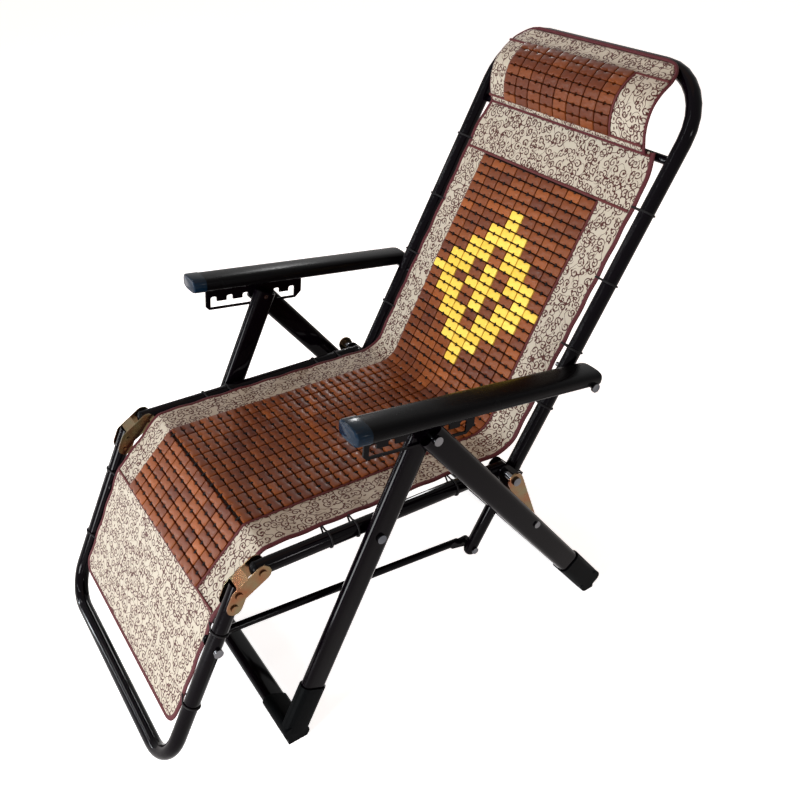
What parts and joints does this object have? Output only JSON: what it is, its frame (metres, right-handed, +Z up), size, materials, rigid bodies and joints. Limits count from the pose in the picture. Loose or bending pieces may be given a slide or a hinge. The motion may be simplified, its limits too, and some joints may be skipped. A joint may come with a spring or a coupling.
{
  "type": "bamboo folding recliner",
  "caption": "Folding tubular recliner with bamboo tile mat, head pillow, notched armrests and a leg rest linked to the back.",
  "frame": {"origin": "floor level under the middle of the chair's bounding box", "axes": "+Z up, the sitter faces -Y, +X across the chair"},
  "size_m": [0.6246, 1.064, 0.8935],
  "materials": {
    "black_enamel": "gloss black enamel with a slight violet tint",
    "arm_plastic": "black, semi-gloss",
    "rubber": "black, satin",
    "zinc_plate": "yellow zinc passivated sheet steel",
    "chrome_steel": "bright plated fasteners",
    "bamboo": "carbonised bamboo tiles, waxed",
    "brocade": "cream scroll brocade with maroon piping"
  },
  "bodies": {
    "seat": {"seat_rail_left": "black_enamel", "seat_rail_right": "black_enamel", "seat_rail_cap_left": "rubber", "seat_rail_cap_right": "rubber", "seat_pivot_bolt_left": "chrome_steel", "seat_pivot_bolt_right": "chrome_steel", "seat_mat": "bamboo"},
    "front_legs": {"front_leg_frame": "black_enamel", "front_foot_cap_left": "rubber", "front_foot_cap_right": "rubber", "leg_pivot_sleeve_left": "chrome_steel", "leg_pivot_sleeve_right": "chrome_steel"},
    "rear_legs": {"rear_leg_frame": "black_enamel", "rear_foot_cap_left": "rubber", "rear_foot_cap_right": "rubber", "leg_pivot_bolt_left": "chrome_steel", "leg_pivot_bolt_right": "chrome_steel", "rear_link_rivet_left": "chrome_steel", "rear_link_rivet_right": "chrome_steel"},
    "rear_links": {"rear_link_left": "zinc_plate", "rear_link_right": "zinc_plate"},
    "back_pins": {"rear_hinge_bolt_left": "chrome_steel", "rear_hinge_bolt_right": "chrome_steel", "rear_hinge_spacer_left": "chrome_steel", "rear_hinge_spacer_right": "chrome_steel"},
    "back": {"back_frame": "black_enamel", "back_head_cross_bar": "black_enamel", "back_lower_arm_left": "black_enamel", "back_lower_arm_right": "black_enamel", "rear_hinge_saddle_left": "black_enamel", "rear_hinge_saddle_right": "black_enamel", "back_mat": "bamboo", "headrest_pillow": "brocade"},
    "arm_pins": {"armrest_pivot_bolt_left": "chrome_steel", "armrest_pivot_bolt_right": "chrome_steel"},
    "arms": {"armrest_left": "arm_plastic", "armrest_right": "arm_plastic", "armrest_front_cap_left": "arm_plastic", "armrest_front_cap_right": "arm_plastic", "armrest_rack_left": "black_enamel", "armrest_rack_right": "black_enamel"},
    "rest_pins": {"front_hinge_rivet_left": "zinc_plate", "front_hinge_rivet_right": "zinc_plate"},
    "leg_rest": {"leg_rest_frame": "black_enamel", "front_hinge_bracket_left": "zinc_plate", "front_hinge_bracket_right": "zinc_plate", "bracket_upper_rivet_left": "zinc_plate", "bracket_upper_rivet_right": "zinc_plate", "bracket_lower_rivet_left": "zinc_plate", "bracket_lower_rivet_right": "zinc_plate", "leg_rest_link_bolt_left": "chrome_steel", "leg_rest_link_bolt_right": "chrome_steel", "leg_rest_mat": "brocade"},
    "link_pins": {"link_pivot_rivet_left": "chrome_steel", "link_pivot_rivet_right": "chrome_steel"},
    "link_bars": {"link_bar_left": "black_enamel", "link_bar_right": "black_enamel"}
  },
  "joints": [
    {"name": "front_leg_fold", "type": "hinge", "parent": "seat", "child": "front_legs", "pos_m": [0, -0.13254, 0.33749], "axis": [1, 0, 0], "range_deg": [0, 80]},
    {"name": "rear_leg_fold", "type": "hinge", "parent": "front_legs", "child": "rear_legs", "pos_m": [0, -0.04124, 0.49329], "axis": [1, 0, 0], "range_deg": [-50.72, 0.3]},
    {"name": "rear_link_swing", "type": "hinge", "parent": "seat", "child": "rear_links", "pos_m": [0, 0.12136, 0.32499], "axis": [1, 0, 0], "range_deg": [-105.15, 0.3]},
    {"name": "back_fold", "type": "hinge", "parent": "seat", "child": "back_pins", "pos_m": [0, 0.12136, 0.32499], "axis": [1, 0, 0], "range_deg": [-0.3, 108.3]},
    {"name": "back_recline", "type": "hinge", "parent": "back_pins", "child": "back", "pos_m": [0, 0.12136, 0.32499], "axis": [1, 0, 0], "range_deg": [-25, 4]},
    {"name": "armrest_tilt", "type": "hinge", "parent": "back", "child": "arm_pins", "pos_m": [0, 0.25046, 0.46959], "axis": [1, 0, 0], "range_deg": [-2.77, 15.75]},
    {"name": "armrest_fold", "type": "hinge", "parent": "arm_pins", "child": "arms", "pos_m": [0, 0.25046, 0.46959], "axis": [1, 0, 0], "range_deg": [-123.95, 0.3]},
    {"name": "leg_rest_lift", "type": "hinge", "parent": "seat", "child": "rest_pins", "pos_m": [0, -0.31264, 0.35099], "axis": [1, 0, 0], "range_deg": [-38.13, 6.35]},
    {"name": "leg_rest_fold", "type": "hinge", "parent": "rest_pins", "child": "leg_rest", "pos_m": [0, -0.31264, 0.35099], "axis": [1, 0, 0], "range_deg": [-0.3, 96.46]},
    {"name": "link_bar_tilt", "type": "hinge", "parent": "back", "child": "link_pins", "pos_m": [0, 0.05926, 0.18339], "axis": [1, 0, 0], "range_deg": [-3.54, 20.54]},
    {"name": "link_bar_fold", "type": "hinge", "parent": "link_pins", "child": "link_bars", "pos_m": [0, 0.05926, 0.18339], "axis": [1, 0, 0], "range_deg": [-97.51, 0.3]}
  ],
  "couplings": [
    {"joint": "rear_leg_fold", "follows": "front_leg_fold", "ratio": -0.63031},
    {"joint": "rear_link_swing", "follows": "front_leg_fold", "ratio": -1.3106},
    {"joint": "back_fold", "follows": "front_leg_fold", "ratio": 1.35},
    {"joint": "armrest_fold", "follows": "front_leg_fold", "ratio": -1.5457},
    {"joint": "leg_rest_fold", "follows": "front_leg_fold", "ratio": 1.2019},
    {"joint": "link_bar_fold", "follows": "front_leg_fold", "ratio": -1.2152},
    {"joint": "armrest_tilt", "follows": "back_recline", "ratio": -0.61807},
    {"joint": "leg_rest_lift", "follows": "back_recline", "ratio": 1.5133},
    {"joint": "link_bar_tilt", "follows": "back_recline", "ratio": -0.80949}
  ]
}
